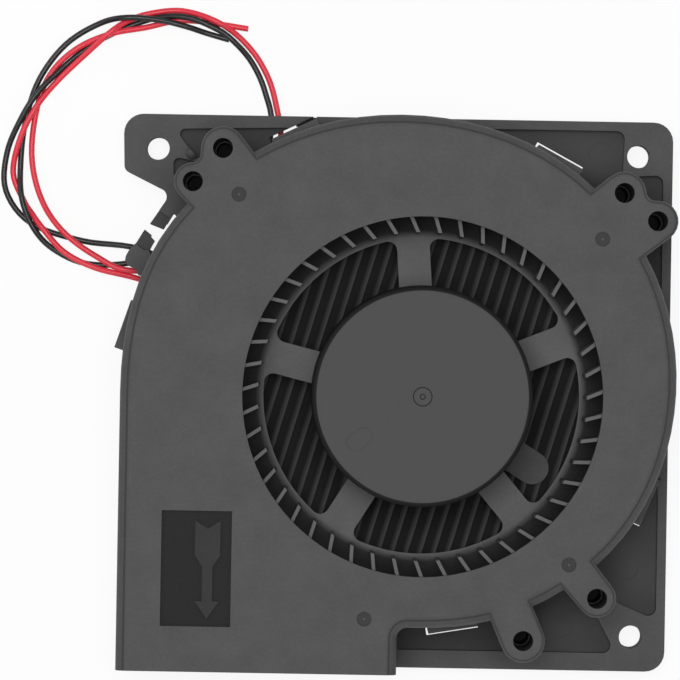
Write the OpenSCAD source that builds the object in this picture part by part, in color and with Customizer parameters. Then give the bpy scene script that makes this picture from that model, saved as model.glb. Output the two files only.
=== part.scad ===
// DC centrifugal blower with a square mounting flange, lying on its back.
// Millimetres. +Z is the rotor axis, out of the round inlet. The origin is the centre of the
// square flange, on the rear face. The air leaves through the outlet, towards -Y.

/* [Mounting flange] */
// Side of the square flange
flange_w = 120; // [114:0.5:126]
// Distance of the corner holes from the flange's edges
hole_edge = 7.5; // [6.5:0.1:9]
// Diameter of the corner holes
flange_hole_d = 5; // [4:0.1:5.4]
// Thickness of the flange's rim
flange_t = 6.5; // [6:0.1:8]
// Radius of the flange's outer corners
flange_corner_r = 4.3; // [3:0.1:6]
// Thickness of the web between the rims
web_t = 1.2; // [1:0.1:1.6]
// Width of the rim along the top and right edges
rim_w = 2; // [1.5:0.1:3]
// Width of the rim along the outlet's edge
low_rim_w = 3.9; // [3:0.1:4.5]

/* [Housing] */
// Overall height from the rear face to the front of the cover
total_h = 32; // [31:0.25:34]
// Depth of the recess in the rear face
rear_recess = 3; // [2.8:0.1:3.4]
// Thickness of the air passage's floor
floor_t = 2; // [1.6:0.1:2.4]
// Thickness of the side walls
wall = 1.8; // [1.4:0.1:2.2]
// Thickness of the cover's plate
cover_t = 2; // [1.6:0.1:2.6]
// Height at which the cover meets the base
split_z = 14; // [12:0.5:17]
// Height of the lip inside the joint
lip_h = 1.6; // [1:0.1:2.5]
// Rounding of the cover's outer edge
edge_r = 2.4; // [1:0.1:3]
// Rounding of the ears' edges
ear_edge_r = 0.9; // [0.5:0.1:0.9]
// Diameter of the round inlet
inlet_d = 77; // [72:0.5:82]
// Outside width of the outlet
outlet_w = 60; // [56:0.5:62]
// Radius where the spiral wall starts
scroll_start_r = 49.4; // [48.5:0.1:50]
// Diameter of the ears' screw holes in the cover
ear_hole_d = 4.3; // [3.8:0.1:4.5]
// Diameter of the ears' screw holes in the base
ear_pilot_d = 3.6; // [2.6:0.1:3.7]

/* [Rotor] */
// Rotor axis to the right of the flange's centre
axis_x = 5.8; // [4:0.1:7]
// Rotor axis above the flange's centre
axis_y = -0.5; // [-2:0.1:1]
// Number of blades
blade_n = 47; // [31:1:51]
// Radius of the blades' inner edges
blade_in_r = 35.2; // [34.8:0.1:37]
// Radius of the blades' outer edges
blade_out_r = 44.5; // [42:0.1:45]
// Thickness of a blade
blade_t = 0.8; // [0.6:0.05:1]
// Gap above and below the blades
blade_gap = 1; // [0.8:0.1:1.5]
// Height of the blade ring's lower face above the rear face
ring_z = 11.5; // [10:0.25:14]
// Thickness of the blade ring
ring_t = 1.2; // [1:0.1:2]
// Inner radius of the blade ring, at the outer edge of the windows
window_r = 34.3; // [32:0.1:34.5]
// Number of spokes
spoke_n = 5; // [4:1:6]
// Width of a spoke
spoke_w = 7.1; // [5:0.1:9]
// Outer radius of the hub at its foot
hub_r = 24; // [23.6:0.1:25]
// Rounding of the hub's top edge
hub_edge_r = 1.4; // [0.6:0.1:1.6]
// Distance of the hub's face below the cover's face
hub_drop = 0.8; // [0.4:0.1:1.5]

/* [Motor] */
// Diameter of the shaft
shaft_d = 3; // [2.5:0.1:3]
// Outside diameter of the ball bearings
bearing_d = 8; // [8:0.1:8.4]
// Width of a ball bearing
bearing_w = 4; // [3.6:0.1:4]
// Number of balls in a bearing
ball_n = 7; // [6:1:7]
// Outside diameter of the bearing tube
tube_d = 10.4; // [10.2:0.1:11]
// Outer radius of the stator's poles
stator_r = 19; // [18:0.1:19.2]
// Height of the lamination stack
stack_h = 10; // [8:0.5:11]
// Gap between the stator and the magnet
air_gap = 0.6; // [0.4:0.05:0.8]
// Thickness of the ring magnet
magnet_t = 1.7; // [1.4:0.05:1.8]
// Thickness of the steel rotor cup
yoke_t = 1; // [0.8:0.05:1]

/* [Leads] */
// Diameter of the insulated leads
lead_d = 1.3; // [1.2:0.05:1.3]

/* [Hidden] */

// Colours of the real materials
black_plastic = "#4d4d4e";
dark_plastic = "#3a3a3b";
grey_plastic = "#59595a";
steel = "#b8babd";
zinc_steel = "#9a9ca0";
brass_yellow = "#c8a95a";
copper = "#b5653a";
board_green = "#2f6b45";
red_pvc = "#e63b4a";
black_pvc = "#2a2a2c";
nylon_white = "#dcd8cc";
ferrite = "#3b3735";

fine = 64;       // steps round a visible circle
coarse = 32;     // steps round a small circle
axis = [axis_x, axis_y];
hole_at = flange_w / 2 - hole_edge;
far = 2 * flange_w;      // well past the part on every side

// Floor ribs seen through the impeller's windows
rib_pitch = 2.9;
rib_h = 0.7;
rib_turn = -16.5;
rib_field_r = 43;

// Heights
web_z = rear_recess;
web_top = web_z + web_t;
floor_top = rear_recess + floor_t;
cover_under = total_h - cover_t;
hub_top = total_h - hub_drop;
board_z = floor_top + 2;
board_t = 1;
blade_low = floor_top + rib_h + blade_gap;
blade_high = cover_under - blade_gap;

// The spiral wall touches the flange's top edge. Its growth from the start, at every 30 degrees
// from -90 to 180, is a share of its growth up there, with one more step at each end that makes
// the wall leave level and end upright.
scroll_rise = flange_w / 2 - axis_y - scroll_start_r - 0.5;
scroll_growth = scroll_rise
    * [0.123, 0, 0.123, 0.302, 0.443, 0.642, 0.84, 1, 1.274, 1.519, 1.439, 1.519];
scroll_step = 30;
scroll_a0 = -90;
left_x = axis_x - scroll_start_r - scroll_growth[10];
right_x = left_x + outlet_w;
outlet_y = -flange_w / 2;
throat_r = 2.2;        // rounding between the outlet's side and the spiral wall

// Ears with screw holes: centre, radius, direction of the edge that comes in and that leaves,
// counter-clockwise round the housing. A centre is a direction and a distance past the wall.
function beside_wall(a, out) = axis + (scroll_r(a) + out) * unit(a);
function ear(a, out, r, turn_in, turn_out) =
    let (c = beside_wall(a, out)) [c[0], c[1], r, turn_in, turn_out];
ear_1a = ear(37.73, 5.84, 4.4, 38, 0);
ear_1b = ear(46.26, 3.81, 4.6, 0, 219);
ear_2a = ear(129.75, 4.14, 4.7, 128, 0);
ear_2b = ear(137.84, 2.48, 4.1, 0, -46);
ear_3 = ear(-66.67, 5.98, 4.7, -67, 113);
ear_4 = ear(-48.21, 5.45, 4.1, -48, 128);
ears = [ear_1a, ear_1b, ear_2a, ear_2b, ear_3, ear_4];
notch_12 = beside_wall(42.38, 9.04);
notch_23 = beside_wall(134.49, 6.9);
ear_reach = 13;        // how far an ear's edges run into the housing

// Snap clips: direction from the rotor axis, lean of the clip from the tangent
clips = [[167.5, -6], [116.5, -1], [60.8, 1], [-24.1, 1], [-81.4, 1]];
clip_w = 10.8;
clip_t = 1.2;
clip_gap = 0.15;
clip_low = 7.6;
clip_high = 20;
clip_window_w = 4;
clip_window_h = 4;
clip_slit = 0.8;       // width of the two slits in the clip's face
wedge_h = 2.6;
slot_w = 2.2;

// Points on an arc
function arc(c, r, a0, a1, n) =
    [for (i = [0:n]) let (a = a0 + (a1 - a0) * i / n) [c[0] + r * cos(a), c[1] + r * sin(a)]];

function unit(a) = [cos(a), sin(a)];
function to_right(a) = [sin(a), -cos(a)];

// Smooth curve through equally spaced values, at place u counted in steps
function through(v, u) =
    let (i = max(1, min(len(v) - 3, floor(u))), t = u - i,
        m0 = (v[i + 1] - v[i - 1]) / 2, m1 = (v[i + 2] - v[i]) / 2)
    v[i] * (2 * pow(t, 3) - 3 * pow(t, 2) + 1) + m0 * (pow(t, 3) - 2 * pow(t, 2) + t)
    + v[i + 1] * (3 * pow(t, 2) - 2 * pow(t, 3)) + m1 * (pow(t, 3) - pow(t, 2));

function scroll_r(a) =
    scroll_start_r + through(scroll_growth, (a - scroll_a0) / scroll_step + 1);

// Outline of the air passage's wall, moved inwards by inset. open_y is where the outlet ends.
function scroll_outline(inset, open_y) =
    let (throat = [right_x + throat_r, axis_y - scroll_start_r - throat_r])
    concat(
        [for (a = [scroll_a0:4.5:180]) axis + (scroll_r(a) - inset) * unit(a)],
        [[left_x + inset, open_y], [right_x - inset, open_y]],
        arc(throat, throat_r + inset, 180, 95, 6));

// Outline round signed circles [x, y, r], counter-clockwise, joined by straight tangents.
// A negative radius turns the other way.
function heading(p, q) =
    let (d = [q[0] - p[0], q[1] - p[1]]) atan2(d[1], d[0]) + asin((p[2] - q[2]) / norm(d));
function turn_by(t, r) = let (u = ((t % 360) + 360) % 360) r >= 0 ? u : u - 360;
function belt(circles) =
    let (n = len(circles))
    [for (i = [0:n - 1])
        let (c = circles[i], t0 = heading(circles[(i + n - 1) % n], c),
            t1 = heading(c, circles[(i + 1) % n]), turn = turn_by(t1 - t0, c[2]),
            steps = max(2, ceil(abs(turn) / 15)))
        for (k = [0:steps]) [c[0], c[1]] + c[2] * to_right(t0 + turn * k / steps)];

// An ear's straight edge along direction a: the point t past the ear's round end
function edge_point(e, a, inset, t) = [e[0], e[1]] + (e[2] - inset) * to_right(a) + t * unit(a);
function turn_of(p) = let (q = p - axis) atan2(q[1], q[0]);
// Where that edge meets the spiral wall, found by halving between near and far
function meet(e, a, ear_in, wall_in, near, far, n = 16) =
    let (mid = (near + far) / 2, p = edge_point(e, a, ear_in, mid))
    n == 0 ? p
    : norm(p - axis) > scroll_r(turn_of(p)) - wall_in ? meet(e, a, ear_in, wall_in, mid, far, n - 1)
    : meet(e, a, ear_in, wall_in, near, mid, n - 1);

// The round fillet between the two ears of a pair
function notch(c, e1, e2) =
    [c[0], c[1], -(min(norm([e1[0] - c[0], e1[1] - c[1]]) - e1[2],
        norm([e2[0] - c[0], e2[1] - c[1]]) - e2[2]) - 0.02)];
groups = [[ear_3], [ear_4], [ear_1a, notch(notch_12, ear_1a, ear_1b), ear_1b],
    [ear_2a, notch(notch_23, ear_2a, ear_2b), ear_2b]];

function round_end(c, t0, t1, inset) =
    let (turn = turn_by(t1 - t0, c[2]), steps = max(3, ceil(abs(turn) / 16)))
    [for (k = [0:steps]) [c[0], c[1]] + (c[2] - inset) * to_right(t0 + turn * k / steps)];
function group_points(g, ear_in, wall_in) =
    let (n = len(g) - 1, a_in = g[0][3], a_out = g[n][4])
    concat(
        [meet(g[0], a_in, ear_in, wall_in, 0, -ear_reach)],
        [for (i = [0:n]) each round_end(g[i], i == 0 ? a_in : heading(g[i - 1], g[i]),
            i == n ? a_out : heading(g[i], g[i + 1]), ear_in)],
        [meet(g[n], a_out, ear_in, wall_in, 0, ear_reach)]);
function scroll_points(a0, a1, n, inset) =
    [for (i = [1:1:n - 1]) let (a = a0 + (a1 - a0) * i / n) axis + (scroll_r(a) - inset) * unit(a)];

function end_turns(wall_in, ear_in) =
    let (parts = [for (g = groups) group_points(g, ear_in, wall_in)])
    concat([scroll_a0], [for (q = parts) each [turn_of(q[0]), turn_of(q[len(q) - 1])]], [180]);
scroll_counts = let (e = end_turns(0, 0))
    [for (i = [0:len(groups)]) max(2, round((e[2 * i + 1] - e[2 * i]) / 4.5))];

// The whole outline of the housing, with its ears. The spiral wall and the ears move inwards
// by amounts of their own, so that their rounded edges can differ.
function housing_outline(wall_in, ear_in) =
    let (e = end_turns(wall_in, ear_in),
        throat = [right_x + throat_r, axis_y - scroll_start_r - throat_r])
    concat(
        [axis + (scroll_r(scroll_a0) - wall_in) * unit(scroll_a0)],
        [for (i = [0:len(groups)]) each concat(
            scroll_points(e[2 * i], e[2 * i + 1], scroll_counts[i], wall_in),
            i < len(groups) ? group_points(groups[i], ear_in, wall_in) : [])],
        [axis + (scroll_r(180) - wall_in) * unit(180), [left_x + wall_in, outlet_y],
        [right_x - wall_in, outlet_y]],
        arc(throat, throat_r + wall_in, 180, 95, 6));

// A solid between matching rings of points, each ring flat at its own height
module loft(rings) {
    n = len(rings[0]);
    m = len(rings);
    polyhedron(
        points = [for (ring = rings) for (p = ring) p],
        faces = concat(
            [[for (i = [0:n - 1]) i]],
            [for (k = [0:m - 2]) for (i = [0:n - 1]) let (j = (i + 1) % n)
                for (f = [[k * n + i, (k + 1) * n + j, k * n + j],
                    [k * n + i, (k + 1) * n + i, (k + 1) * n + j]]) f],
            [[for (i = [n - 1:-1:0]) (m - 1) * n + i]]));
}

function at_height(ring, z) = [for (p = ring) [p[0], p[1], z]];
// How far a rounded edge of radius r has moved in at depth d below its top
function edge_in(r, d) = d >= r ? 0 : r - sqrt(r * r - (r - d) * (r - d));

// Solid of the housing's outline with rounded top edges. The loft runs past both ends, and the
// cuts there leave plain flat faces.
module housing_block(z0, z1) {
    depths = [edge_r, edge_r * 0.65, ear_edge_r, ear_edge_r * 0.5, ear_edge_r * 0.15, 0];
    difference() {
        loft(concat([at_height(housing_outline(0, 0), z0 - 1)],
            [for (d = depths)
                at_height(housing_outline(edge_in(edge_r, d), edge_in(ear_edge_r, d)), z1 - d)],
            [at_height(housing_outline(edge_r, ear_edge_r), z1 + 1)]));
        translate([-far / 2, -far / 2, z1]) cube(far);
        translate([-far / 2, -far / 2, z0 - far]) cube(far);
    }
}

module housing_area() { polygon(housing_outline(0, 0)); }

module scroll_area(inset, open_y = outlet_y) { polygon(scroll_outline(inset, open_y)); }

module at_axis() { translate([axis_x, axis_y, 0]) children(); }
module tube(r_out, r_in, z0, z1, fn = fine) {
    translate([0, 0, z0]) difference() {
        cylinder(r = r_out, h = z1 - z0, $fn = fn);
        translate([0, 0, -1]) cylinder(r = r_in, h = z1 - z0 + 2, $fn = fn);
    }
}

// The clip for the leads hangs beside the wall in this direction from the rotor axis. Its
// points are distances out from the wall and along it.
hook_turn = 157;
function by_hook(p) =
    beside_wall(hook_turn, p[0]) + p[1] * [-sin(hook_turn), cos(hook_turn)];

// Flange outline in signed circles. Its left side ends in the upper tongue of the clip.
ear_left_low = 48.6;
function circle_by_hook(out, along, r) = let (c = by_hook([out, along])) [c[0], c[1], r];
flange_outline_shape = let (h = flange_w / 2, r = flange_corner_r)
    [[left_x + 0.6, -h + 0.6, 0.6], [h - r, -h + r, r], [h - r, h - r, r], [-h + r, h - r, r],
    [-h + 1.7, ear_left_low, 1.5], circle_by_hook(4.6, -16.3, -1.9),
    circle_by_hook(3.7, -10.3, 0.15), circle_by_hook(0.8, -10.4, 0.15),
    circle_by_hook(-0.1, -14, -0.3), circle_by_hook(-4, -12, -0.6),
    [left_x + 9, 20, -0.6], [left_x + 0.6, 4, 0.6]];
tongue_step = [[6, -14.2], [6, -8], [-2, -8], [-2, -12.7]];
tongue_drop = 1.2;

// Lower half of the clip: a block on the wall and a thinner hook above it
clip_block = [[4.9, -5], [5.6, -3], [5.7, -1.6], [5.5, -0.8], [4.9, -0.1], [3.9, 0.1], [2.6, 0.2],
    [1.5, 1.1], [-1.5, 0.8], [-1.5, -2.2], [0, -3], [1.6, -4.7], [2.7, -4.4]];
clip_hook = [[4.9, -5], [4.4, -8.6], [2.6, -8.1], [2.5, -7.7], [1.4, -7.2], [1.5, -6.3],
    [1.6, -4.7], [2, -3.5], [4, -3.5]];
clip_block_h = 8;
clip_hook_h = 6;

// Pockets in the front of the flange: signed circles, counter-clockwise
pocket_top_left = let (y = flange_w / 2 - rim_w)
    [[-46.6, y - 2.3, 1.2], [-45.5, 53.6, 0.8], [-36, 44, 1], [-6, 48, 1], [-6, y - 0.8, 0.8]];
pocket_small = [[-47.9, 49.3, 1.2], [-47.9, 47.4, 1.2], [-42, 44, 1], [-43, 48.6, 1]];
pocket_top_right = let (y = flange_w / 2 - rim_w)
    [[47.6, y - 1.8, 1.8], [14, y - 0.8, 0.8], [14, 48, 1], [40, 38, 1], [47.8, 46, 1.2]];
pocket_right_top = let (x = flange_w / 2 - rim_w)
    [[x - 1.8, 46.6, 1.8], [53, 47.2, 1], [50, 42, 1], [46, 22, 1], [x - 0.8, 18, 0.8]];
pocket_right = let (x = flange_w / 2 - rim_w)
    [[x - 0.8, -14, 0.8], [46, -14, 1], [40, -34, 1], [50.5, -44.2, 1.2], [x - 1.8, -46, 1.8]];
pocket_bottom = let (y = -flange_w / 2 + low_rim_w)
    [[right_x + 1, y + 0.8, 0.8], [46.4, y + 1.8, 1.8], [44, -48.6, 1.2], [38, -38, 1],
    [8, -44, 1], [right_x + 1, -48, 0.8]];
pockets = [pocket_top_left, pocket_small, pocket_top_right, pocket_right_top, pocket_right,
    pocket_bottom];

corner_holes = [[-1, 1], [1, 1], [1, -1]];
corner_boss_r = 5.6;
pip = [-45.07, 51.56];

module flange_area() { polygon(belt(flange_outline_shape)); }
module by_hook_area(points) { polygon([for (p = points) by_hook(p)]); }

// Places for the leads in the rear rim
lead_notch_top = [-31.5, -22.5];
lead_notch_left = [18, 36];
lead_notch_in = 18;      // how far the left one runs in
lead_notch_h = rear_recess;

skirt_t = 2;
rear_recess_shape = let (h = flange_w / 2 - skirt_t, r = flange_corner_r - skirt_t)
    [[left_x + skirt_t + 0.6, -h + 0.6, 0.6], [h - r, -h + r, r], [h - r, h - r, r],
    [-h + r, h - r, r], [-h + 1, ear_left_low + 2, 1], circle_by_hook(4.6, -16.3, -1.9 - skirt_t),
    [-43, 31, -0.6], [left_x + 12, 19, -0.6], [left_x + skirt_t + 0.6, 4, 0.6]];

module rear_recess_area() {
    difference() {
        polygon(belt(rear_recess_shape));
        for (h = corner_holes) translate(h * hole_at) circle(r = corner_boss_r, $fn = coarse);
        for (e = ears) translate([e[0], e[1]]) circle(r = ear_pilot_d / 2 + 1.6, $fn = coarse);
        translate(axis) circle(r = boss_r, $fn = fine);
    }
}

// Motor seat on the floor
boss_r = 8;
boss_top = board_z - 0.8;
boss_low = 0.5;
tube_low = 2.6;
cap_r = 6.2;
cap_t = 1;
board_post_r = 1.4;
board_post_at = 15.5;

module base_body() {
    difference() {
        union() {
            linear_extrude(flange_t) flange_area();
            translate([0, 0, web_z]) linear_extrude(clip_block_h - web_z) by_hook_area(clip_block);
            translate([0, 0, web_z]) linear_extrude(clip_hook_h - web_z) by_hook_area(clip_hook);
            translate([0, 0, web_z]) linear_extrude(split_z - web_z) housing_area();
            translate([0, 0, split_z - 1]) linear_extrude(1 + lip_h) lip_area();
            translate([pip[0], pip[1], flange_t - 0.4]) sphere(r = 1.5, $fn = coarse);
        }
        translate([0, 0, -1]) linear_extrude(rear_recess + 1) rear_recess_area();
        translate([0, 0, flange_t - tongue_drop]) linear_extrude(tongue_drop + 1)
            difference() {
                by_hook_area(tongue_step);
                housing_area();
            }
        for (p = pockets) translate([0, 0, web_top]) linear_extrude(flange_t) pocket_area(p);
        translate([0, 0, floor_top]) linear_extrude(total_h)
            scroll_area(wall, outlet_y - 10);
        for (h = corner_holes) translate([h[0] * hole_at, h[1] * hole_at, -1])
            cylinder(d = flange_hole_d, h = flange_t + 2, $fn = coarse);
        for (e = ears) translate([e[0], e[1], web_top])
            cylinder(d = ear_pilot_d, h = total_h, $fn = coarse);
        for (m = pocket_marks) translate([m[0], m[1], web_top - mark_depth])
            ejector_mark(m[2]);
        for (c = clips) clip_slot(c);
        lead_notches();
    }
}

// Witness of an ejector pin: a shallow round recess with a dot in its middle
module ejector_mark(r) {
    difference() {
        cylinder(r = r, h = 2 * mark_depth, $fn = coarse);
        translate([0, 0, -1]) cylinder(r = mark_dot_r, h = 3, $fn = coarse);
    }
}

// Pockets stop at the spiral wall and at the ears
module pocket_area(p) {
    difference() {
        polygon(belt(p));
        housing_area();
    }
}

module lip_area() {
    difference() {
        scroll_area(wall / 2 + 0.1);
        scroll_area(wall, outlet_y - 10);
    }
}

module lead_notches() {
    translate([lead_notch_top[0], flange_w / 2 - 4, -1])
        cube([lead_notch_top[1] - lead_notch_top[0], 5, lead_notch_h + 1]);
    translate([-flange_w / 2 - 1, lead_notch_left[0], -1])
        cube([lead_notch_in + 1, lead_notch_left[1] - lead_notch_left[0], lead_notch_h + 1]);
}

// A clip's own frame: x outwards from the wall, y along it
module at_clip(c) {
    at_axis() rotate(c[0]) translate([scroll_r(c[0]), 0, 0]) rotate(c[1]) children();
}

module clip_slot(c) {
    at_clip(c) translate([0.4, -clip_w / 2 - 0.3, web_z - 1]) cube([slot_w, clip_w + 0.6, flange_t]);
}

module clip_wedge(c) {
    at_clip(c) translate([-0.6, -clip_window_w / 2 + 0.2, clip_low + 1.6])
        cube([clip_t + 0.6, clip_window_w - 0.4, wedge_h]);
}

module clip_tab(c) {
    at_clip(c) difference() {
        translate([clip_gap, -clip_w / 2, clip_low]) cube([clip_t, clip_w, clip_high - clip_low]);
        translate([-1, -clip_window_w / 2, clip_low + 1.4])
            cube([clip_t + 3, clip_window_w, clip_window_h]);
        for (y = [-1, 1]) translate([clip_gap + clip_t * 0.35, y * clip_w / 6 - clip_slit / 2, split_z + 2])
            cube([clip_t, clip_slit, clip_high]);
    }
    at_clip(c) translate([-0.8, -clip_w / 2, split_z + 0.4])
        cube([clip_t + 0.8 + clip_gap, clip_w, clip_high - split_z - 0.4]);
}

// Low slanting ribs across the floor under the inlet
module floor_ribs() {
    n = ceil(rib_field_r / rib_pitch);
    intersection() {
        for (i = [-n:n]) rotate(rib_turn) translate([i * rib_pitch, 0, floor_top - 0.3])
            rotate([90, 0, 0]) linear_extrude(2 * rib_field_r, center = true)
                polygon([[0, 0], [rib_pitch * 0.62, 0], [rib_pitch * 0.62, 0.3 + rib_h], [0, 0.35]]);
        tube(rib_field_r, boss_r + 12, floor_top - 1, floor_top + 2);
    }
}

// Rounded guide on the floor that covers the leads' hole
guide_at = [24.6, -15.4];
module lead_guide() {
    translate([guide_at[0], guide_at[1], floor_top - 0.5]) rotate(-32) {
        cylinder(r = 3.6, h = 2.2, $fn = coarse);
        translate([-8, -3.6, 0]) cube([8, 7.2, 2.2]);
    }
}

module motor_seat() {
    difference() {
        union() {
            translate([0, 0, boss_low]) cylinder(r = boss_r, h = boss_top - boss_low, $fn = fine);
            for (a = [45:90:315]) rotate(a) translate([board_post_at, 0, floor_top - 1])
                cylinder(r = board_post_r, h = board_z - floor_top + 1, $fn = coarse);
        }
        translate([0, 0, tube_low]) cylinder(d = tube_d, h = boss_top, $fn = fine);
        translate([0, 0, boss_low - 1]) cylinder(r = cap_r, h = 1 + cap_t, $fn = fine);
        cylinder(r = tube_d / 2 - 1, h = boss_top, $fn = fine);
    }
}

module base_housing() {
    color(dark_plastic) difference() {
        union() {
            base_body();
            at_axis() floor_ribs();
            at_axis() lead_guide();
            at_axis() motor_seat();
            for (c = clips) clip_wedge(c);
        }
        at_axis() translate([0, 0, tube_low]) cylinder(d = tube_d, h = boss_top, $fn = fine);
        at_axis() translate([0, 0, -1]) cylinder(r = cap_r, h = boss_low + 1 + cap_t, $fn = fine);
        at_axis() cylinder(r = tube_d / 2 - 1, h = boss_top, $fn = fine);
        at_axis() translate([lead_hole[0], lead_hole[1], -1])
            cylinder(d = 4 * lead_d, h = floor_top + 4, $fn = coarse);
    }
}

// Ejector marks on the cover: direction and distance from the rotor axis
cover_marks = [[133.2, 58.3], [42.2, 51], [-48, 47.5], [-103.8, 49]];
mark_r = 1.6;
mark_depth = 0.15;
mark_dot_r = 0.3;
// Ejector marks in the pockets: centre and radius
pocket_marks = [[44.4, 52.8, 2.8], [51.45, -37.3, 2.8], [37.2, -50.1, 2.9], [56.3, 45.1, 1]];

// Sunk panel for markings, on the cover
panel = [left_x + 9.45, -50.3, 15, 24.7];
panel_depth = 0.4;

module raised_arrow() {
    cx = panel[0] + 9.9;
    head_y = panel[1] + 1.7;
    linear_extrude(panel_depth * 0.8 + 0.3)
        polygon([[cx, head_y], [cx + 2.6, head_y + 3.7], [cx + 1.1, head_y + 3.7],
            [cx + 1.1, head_y + 11.1], [cx + 2.7, head_y + 13.5], [cx + 2.7, head_y + 20.9],
            [cx, head_y + 19.2], [cx - 2.7, head_y + 20.9], [cx - 2.7, head_y + 13.5],
            [cx - 1.1, head_y + 11.1], [cx - 1.1, head_y + 3.7], [cx - 2.6, head_y + 3.7]]);
}

module top_cover() {
    color(black_plastic) union() {
        difference() {
            housing_block(split_z, total_h);
            translate([0, 0, split_z - 1]) linear_extrude(cover_under - split_z + 1)
                scroll_area(wall, outlet_y - 10);
            translate([0, 0, split_z - 1]) linear_extrude(1 + lip_h + 0.1)
                scroll_area(wall / 2, outlet_y - 10);
            at_axis() translate([0, 0, cover_under - 1])
                cylinder(d = inlet_d, h = cover_t + 2, $fn = 2 * fine);
            for (e = ears) translate([e[0], e[1], split_z - 1])
                cylinder(d = ear_hole_d, h = total_h, $fn = coarse);
            translate([panel[0], panel[1], total_h - panel_depth])
                cube([panel[2], panel[3], 1]);
            for (m = cover_marks) at_axis() rotate(m[0])
                translate([m[1], 0, total_h - mark_depth]) ejector_mark(mark_r);
        }
        for (c = clips) clip_tab(c);
        translate([0, 0, total_h - panel_depth - 0.3]) raised_arrow();
    }
}

// Motor, about the rotor axis
stack_low = 12;
stack_top = stack_low + stack_h;
lower_bearing_z = 7.4;
shoulder_low = lower_bearing_z + bearing_w;
shoulder_top = shoulder_low + 7;
spring_h = 2.4;
upper_bearing_z = shoulder_top + spring_h;
tube_top = upper_bearing_z + bearing_w + 0.4;
tooth_n = 4;
tooth_w = 5;
core_r = 8.6;
shoe_in_r = stator_r - 1.9;
coil_in_x = 9.4;
coil_out_x = shoe_in_r - 0.9;
coil_wall = 2.4;
insulator_t = 0.9;
magnet_in_r = stator_r + air_gap;
yoke_in_r = magnet_in_r + magnet_t;
yoke_out_r = yoke_in_r + yoke_t;
lead_hole = [-13.5, 1.5];

module bearing_tube() {
    color(brass_yellow) at_axis() difference() {
        translate([0, 0, tube_low]) cylinder(d = tube_d, h = tube_top - tube_low, $fn = fine);
        translate([0, 0, tube_low - 1]) cylinder(d = bearing_d, h = shoulder_low - tube_low + 1, $fn = fine);
        translate([0, 0, shoulder_top]) cylinder(d = bearing_d, h = tube_top, $fn = fine);
        translate([0, 0, tube_low]) cylinder(d = bearing_d - 1.6, h = tube_top, $fn = fine);
    }
}

module dust_cap() {
    color(dark_plastic) at_axis() translate([0, 0, boss_low]) cylinder(r = cap_r, h = cap_t, $fn = fine);
}

module tooth_area() {
    for (i = [0:tooth_n - 1]) rotate(45 + i * 360 / tooth_n)
        translate([core_r - 1, -tooth_w / 2]) square([shoe_in_r - core_r + 2, tooth_w]);
}

module stator_core() {
    color(zinc_steel) at_axis() translate([0, 0, stack_low]) linear_extrude(stack_h) difference() {
        union() {
            circle(r = core_r, $fn = fine);
            tooth_area();
            intersection() {
                difference() {
                    circle(r = stator_r, $fn = fine);
                    circle(r = shoe_in_r, $fn = fine);
                }
                for (i = [0:tooth_n - 1]) rotate(45 + i * 360 / tooth_n)
                    polygon([[0, 0], [26, -20.5], [26, 20.5]]);
            }
        }
        circle(d = tube_d, $fn = fine);
    }
}

module insulator(z0, rim_z0, rim_z1) {
    difference() {
        union() {
            translate([0, 0, z0]) linear_extrude(insulator_t) {
                circle(r = core_r, $fn = fine);
                tooth_area();
            }
            for (i = [0:tooth_n - 1]) rotate(45 + i * 360 / tooth_n)
                translate([shoe_in_r - 0.8, -5.2, rim_z0]) cube([0.8, 10.4, rim_z1 - rim_z0]);
            tube(core_r + 0.5, tube_d / 2 + 0.8, rim_z0, rim_z1);
        }
        translate([0, 0, rim_z0 - 5]) cylinder(d = tube_d, h = 20, $fn = fine);
    }
}

module lower_insulator() {
    color(nylon_white) at_axis()
        insulator(stack_low - insulator_t, stack_low - insulator_t - 1.8, stack_low);
}

module upper_insulator() {
    color(nylon_white) at_axis() insulator(stack_top, stack_top, stack_top + insulator_t + 1.8);
}

module stator_coils() {
    w = tooth_w + 0.1;
    h = stack_h + 2 * insulator_t + 0.1;
    color(copper) at_axis() for (i = [0:tooth_n - 1]) rotate(45 + i * 360 / tooth_n)
        translate([coil_in_x, 0, stack_low + stack_h / 2]) rotate([90, 0, 90])
            linear_extrude(coil_out_x - coil_in_x) difference() {
                square([w + 2 * coil_wall, h + 2 * 1.6], center = true);
                square([w, h], center = true);
            }
}

module terminal_pins() {
    color(brass_yellow) at_axis() for (i = [0:tooth_n - 1]) rotate(i * 360 / tooth_n)
        translate([core_r - 1.4, 0, board_z - 0.5])
            cylinder(d = 0.7, h = stack_low - insulator_t - board_z + 0.5 - 1.8, $fn = coarse);
}

module circuit_board() {
    color(board_green) at_axis() translate([0, 0, board_z]) difference() {
        cylinder(r = stator_r - 0.6, h = board_t, $fn = fine);
        translate([0, 0, -1]) cylinder(r = tube_d / 2 + 0.3, h = 4, $fn = fine);
        for (i = [0:tooth_n - 1]) rotate(i * 360 / tooth_n) translate([core_r - 1.4, 0, -1])
            cylinder(d = 0.7, h = 4, $fn = coarse);
    }
}

module driver_chip() {
    color("#1c1c1e") at_axis() rotate(200) translate([11, -2.5, board_z - 1.3]) cube([4, 5, 1.3]);
}

module hall_sensor() {
    color("#1c1c1e") at_axis() rotate(0) translate([16.2, -2, board_z + board_t]) cube([1.5, 4, 2.4]);
}

module capacitor() {
    color("#8a6a48") at_axis() rotate(120) translate([11.5, -1.2, board_z - 1.3]) cube([3.2, 2.4, 1.3]);
}

// Ball bearing sizes
ball_r = 0.78;
ball_gap = 0.02;
race_mid_r = (shaft_d + bearing_d) / 4;
race_t = 0.62;

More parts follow.
